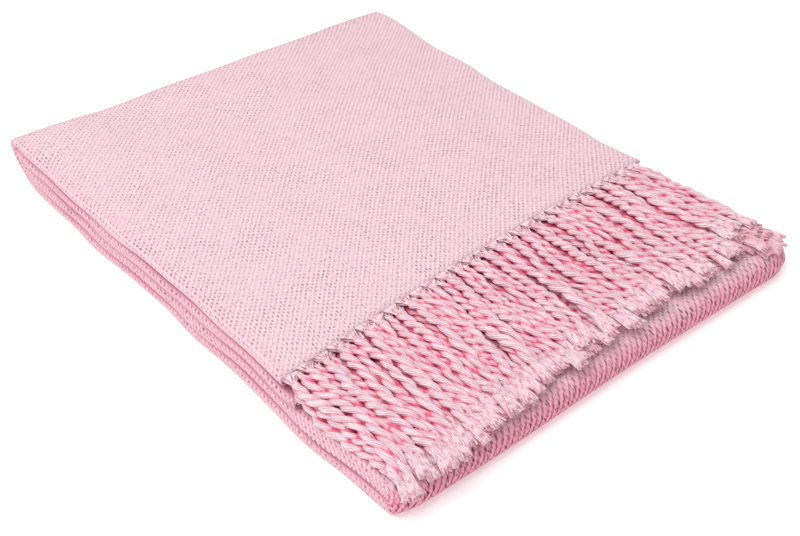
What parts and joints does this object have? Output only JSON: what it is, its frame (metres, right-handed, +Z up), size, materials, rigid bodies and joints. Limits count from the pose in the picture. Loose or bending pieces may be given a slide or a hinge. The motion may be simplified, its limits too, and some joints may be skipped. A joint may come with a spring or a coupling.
{
  "type": "folded cotton throw",
  "caption": "Fringed cotton throw blanket in twill, folded into a flat rectangular stack of layers, with its twisted tassels lying over the last fold.",
  "frame": {"origin": "on the surface that the throw lies on, under the middle of its bounding box", "axes": "+X along the folded length, towards the fold that lies under the fringe; +Y across the width, away from the side that shows the layers; +Z up"},
  "size_m": [0.435, 0.3256, 0.0391],
  "materials": {
    "cloth": "woven 2/2 twill cotton, pale pink, matt",
    "fringe": "twisted cotton yarn, pink, matt"
  },
  "bodies": {
    "root": {"cloth": "cloth", "fringe_top_1": "fringe", "fringe_top_2": "fringe", "fringe_top_3": "fringe", "fringe_top_4": "fringe", "fringe_under_1": "fringe", "fringe_under_2": "fringe", "fringe_under_3": "fringe", "fringe_under_4": "fringe"}
  },
  "joints": []
}
